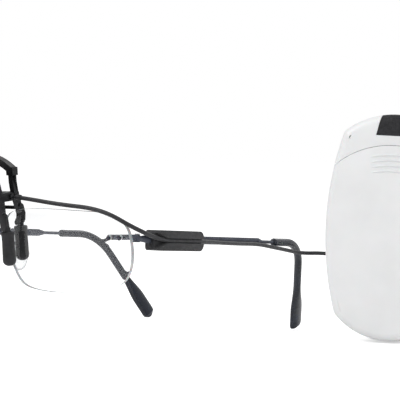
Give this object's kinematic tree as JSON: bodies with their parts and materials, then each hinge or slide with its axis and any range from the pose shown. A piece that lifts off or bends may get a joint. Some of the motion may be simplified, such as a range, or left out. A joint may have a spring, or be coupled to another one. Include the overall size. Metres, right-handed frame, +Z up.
{
  "type": "clip-on headlight spectacles",
  "caption": "Rimless spectacles with a sprung clip-on tilting lamp, whose lead runs along one temple through a rubber clip to a battery pack with a sliding cover and belt clip.",
  "frame": {"origin": "the nose seat, midway between the two nose pads", "axes": "+X to the wearer's left, +Y back along the temples towards the ears, +Z up; spectacles in their worn attitude, temples open"},
  "size_m": [0.1815, 0.1855, 0.0856],
  "materials": {
    "lens": "clear polished plastic lens",
    "bush": "clear compression bush",
    "frame_metal": "satin blue-grey coating",
    "pad": "translucent silicone, smooth",
    "screw": "bright machined steel",
    "temple_metal": "satin slate-blue coating",
    "tip": "dark blue acetate, polished",
    "cable_clip": "moulded black rubber, matt",
    "clip_metal": "matt black coating",
    "sleeve": "black silicone sleeve, matt",
    "spring": "bright spring wire",
    "lamp_metal": "black anodised, satin",
    "lamp_glass": "clear polished",
    "reflector": "bright metallised",
    "lamp_core": "bare metal-core board",
    "emitter": "phosphor dome",
    "lead": "flexible dark grey jacket",
    "pack_shell": "white moulded, satin gloss",
    "button": "black, finely gridded",
    "board": "green solder mask",
    "switch": "black tact switch",
    "cell": "printed sleeve, plain",
    "tray": "moulded black",
    "contact": "nickel plated",
    "gland": "moulded strain relief",
    "pack_clip": "white moulded, satin"
  },
  "bodies": {
    "spectacle_front": {"battery_1": "cell", "battery_2": "cell", "battery_3": "cell", "belt_clip_pin": "screw", "belt_clip_spring": "spring", "bridge": "frame_metal", "button_spring": "spring", "cell_tray": "tray", "circuit_board": "board", "clip_frame": "clip_metal", "contact_plates": "contact", "contact_springs": "spring", "endpiece_left": "frame_metal", "endpiece_right": "frame_metal", "frame_lead_boots": "lead", "hinge_screws": "screw", "jaw_pin": "screw", "jaw_spring": "spring", "lamp_pigtail": "lead", "lead_back": "lead", "lead_front": "lead", "lens_bushes": "bush", "lens_left": "lens", "lens_right": "lens", "nose_pad_arm_left": "frame_metal", "nose_pad_arm_right": "frame_metal", "pack_back_shell": "pack_shell", "pack_front_shell": "pack_shell", "pack_lead_gland": "gland", "pack_screws": "screw", "rear_prong_sleeves": "sleeve", "switch": "switch"},
    "left_temple": {"temple_left": "temple_metal", "temple_tip_left": "tip", "cable_clip": "cable_clip"},
    "right_temple": {"temple_right": "temple_metal", "temple_tip_right": "tip"},
    "jaw": {"front_jaw": "clip_metal", "front_prong_sleeves": "sleeve"},
    "lamp": {"lamp_housing": "lamp_metal", "lamp_bezel": "lamp_metal", "lamp_lens": "lamp_glass", "reflector": "reflector", "led_board": "lamp_core", "led_emitter": "emitter", "lamp_rear_cap": "lamp_metal", "lamp_tilt_screws": "screw", "lamp_lead_boot": "lead"},
    "left_pad": {"nose_pad_left": "pad"},
    "right_pad": {"nose_pad_right": "pad"},
    "cover": {"battery_cover": "pack_shell"},
    "button": {"power_button": "button"},
    "pocket_clip": {"belt_clip": "pack_clip"}
  },
  "joints": [
    {"name": "left_temple_hinge", "type": "hinge", "parent": "spectacle_front", "child": "left_temple", "pos_m": [0.06276, 0.00022, 0.00651], "axis": [0, 0.0611, 0.9981], "range_deg": [0, 78], "deforming": ["lead_front", "lead_back"]},
    {"name": "right_temple_hinge", "type": "hinge", "parent": "spectacle_front", "child": "right_temple", "pos_m": [-0.06276, 0.00022, 0.00651], "axis": [0, 0.0611, 0.9981], "range_deg": [-78, 0]},
    {"name": "jaw_pivot", "type": "hinge", "parent": "spectacle_front", "child": "jaw", "pos_m": [0, -0.01017, 0.01988], "axis": [-1, 0, 0], "range_deg": [0, 14], "stiffness_Nm_per_rad": 0.03, "springref_deg": -20.05, "deforming": ["jaw_spring"]},
    {"name": "lamp_tilt", "type": "hinge", "parent": "spectacle_front", "child": "lamp", "pos_m": [0, -0.02908, 0.01923], "axis": [1, 0, 0], "range_deg": [-20, 6], "deforming": ["lamp_pigtail"]},
    {"name": "left_pad_rock", "type": "hinge", "parent": "spectacle_front", "child": "left_pad", "pos_m": [0.0103, -0.00076, 0.0004], "axis": [0.4067, 0.9135, 0], "range_deg": [-8, 8]},
    {"name": "right_pad_rock", "type": "hinge", "parent": "spectacle_front", "child": "right_pad", "pos_m": [-0.0103, -0.00076, 0.0004], "axis": [-0.4067, 0.9135, 0], "range_deg": [-8, 8]},
    {"name": "cover_slide", "type": "slide", "parent": "spectacle_front", "child": "cover", "axis": [-0.0492, -0.0179, -0.9986], "range_m": [0, 0.055]},
    {"name": "button_press", "type": "slide", "parent": "spectacle_front", "child": "button", "axis": [-0.342, 0.9397, 0], "range_m": [0, 0.001], "stiffness_N_per_m": 900, "springref_m": -0.0006, "deforming": ["button_spring"]},
    {"name": "pocket_clip_hinge", "type": "hinge", "parent": "spectacle_front", "child": "pocket_clip", "pos_m": [0.08514, 0.13665, 0.03057], "axis": [0.9384, 0.3416, -0.0523], "range_deg": [0, 14], "stiffness_Nm_per_rad": 0.08, "springref_deg": -17.19, "deforming": ["belt_clip_spring"]}
  ]
}
